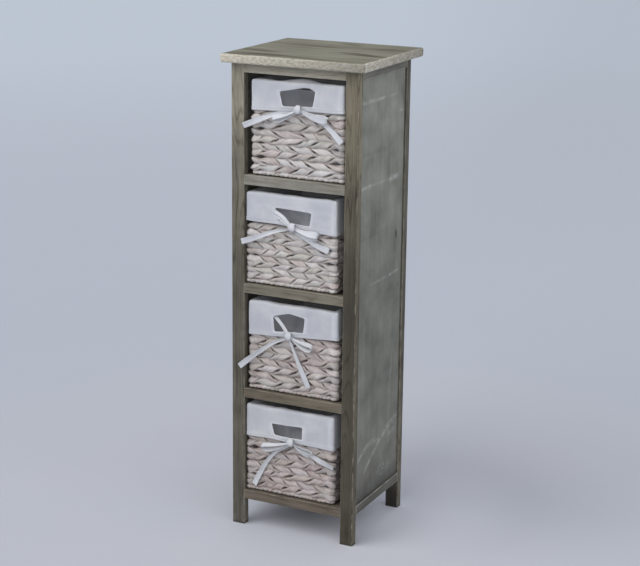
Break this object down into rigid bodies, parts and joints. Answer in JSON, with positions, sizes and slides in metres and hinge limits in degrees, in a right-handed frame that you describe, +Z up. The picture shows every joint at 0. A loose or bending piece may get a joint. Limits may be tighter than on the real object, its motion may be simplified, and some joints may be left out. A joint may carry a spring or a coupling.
{
  "type": "basket storage cabinet",
  "caption": "Tall narrow stained-wood cabinet with open compartments, each holding a woven basket with a white cloth liner tied in a bow, that pulls out like a drawer.",
  "frame": {"origin": "on the floor under the middle of the top board", "axes": "+X to the right, +Y to the back, +Z up; the open front faces -Y"},
  "size_m": [0.266, 0.244, 0.84],
  "materials": {
    "stained_wood": "grey-brown stain, worn edges",
    "stained_panel": "grey stained board",
    "plywood": "stained plywood",
    "top_board_wood": "grey-brown stain, pale rough edges",
    "dowel_wood": "plain",
    "fastener_steel": "plain",
    "weave": "whitewashed woven plant fibre",
    "wire": "plain",
    "liner_cloth": "cotton cloth"
  },
  "bodies": {
    "cabinet": {"front_left_post": "stained_wood", "rear_left_post": "stained_wood", "front_right_post": "stained_wood", "rear_right_post": "stained_wood", "left_top_side_rail": "stained_wood", "left_bottom_side_rail": "stained_wood", "right_top_side_rail": "stained_wood", "right_bottom_side_rail": "stained_wood", "top_front_rail": "stained_wood", "top_rear_rail": "stained_wood", "shelf_1_front_rail": "stained_wood", "shelf_1_rear_rail": "stained_wood", "shelf_2_front_rail": "stained_wood", "shelf_2_rear_rail": "stained_wood", "shelf_3_front_rail": "stained_wood", "shelf_3_rear_rail": "stained_wood", "shelf_4_front_rail": "stained_wood", "shelf_4_rear_rail": "stained_wood", "left_side_panel": "stained_panel", "right_side_panel": "stained_panel", "back_panel": "plywood", "shelf_1": "plywood", "shelf_2": "plywood", "shelf_3": "plywood", "shelf_4": "plywood", "top_board": "top_board_wood", "rail_dowels": "dowel_wood", "top_screws": "fastener_steel", "shelf_brads": "fastener_steel", "back_panel_brads": "fastener_steel"},
    "basket_1": {"basket_1_wall": "weave", "basket_1_base": "weave", "basket_1_wire_frame": "wire", "basket_1_liner": "liner_cloth", "basket_1_bow": "liner_cloth"},
    "basket_2": {"basket_2_wall": "weave", "basket_2_base": "weave", "basket_2_wire_frame": "wire", "basket_2_liner": "liner_cloth", "basket_2_bow": "liner_cloth"},
    "basket_3": {"basket_3_wall": "weave", "basket_3_base": "weave", "basket_3_wire_frame": "wire", "basket_3_liner": "liner_cloth", "basket_3_bow": "liner_cloth"},
    "basket_4": {"basket_4_wall": "weave", "basket_4_base": "weave", "basket_4_wire_frame": "wire", "basket_4_liner": "liner_cloth", "basket_4_bow": "liner_cloth"}
  },
  "joints": [
    {"name": "basket_1_slide", "type": "slide", "parent": "cabinet", "child": "basket_1", "axis": [0, -1, 0], "range_m": [0, 0.21]},
    {"name": "basket_2_slide", "type": "slide", "parent": "cabinet", "child": "basket_2", "axis": [0, -1, 0], "range_m": [0, 0.21]},
    {"name": "basket_3_slide", "type": "slide", "parent": "cabinet", "child": "basket_3", "axis": [0, -1, 0], "range_m": [0, 0.21]},
    {"name": "basket_4_slide", "type": "slide", "parent": "cabinet", "child": "basket_4", "axis": [0, -1, 0], "range_m": [0, 0.21]}
  ]
}
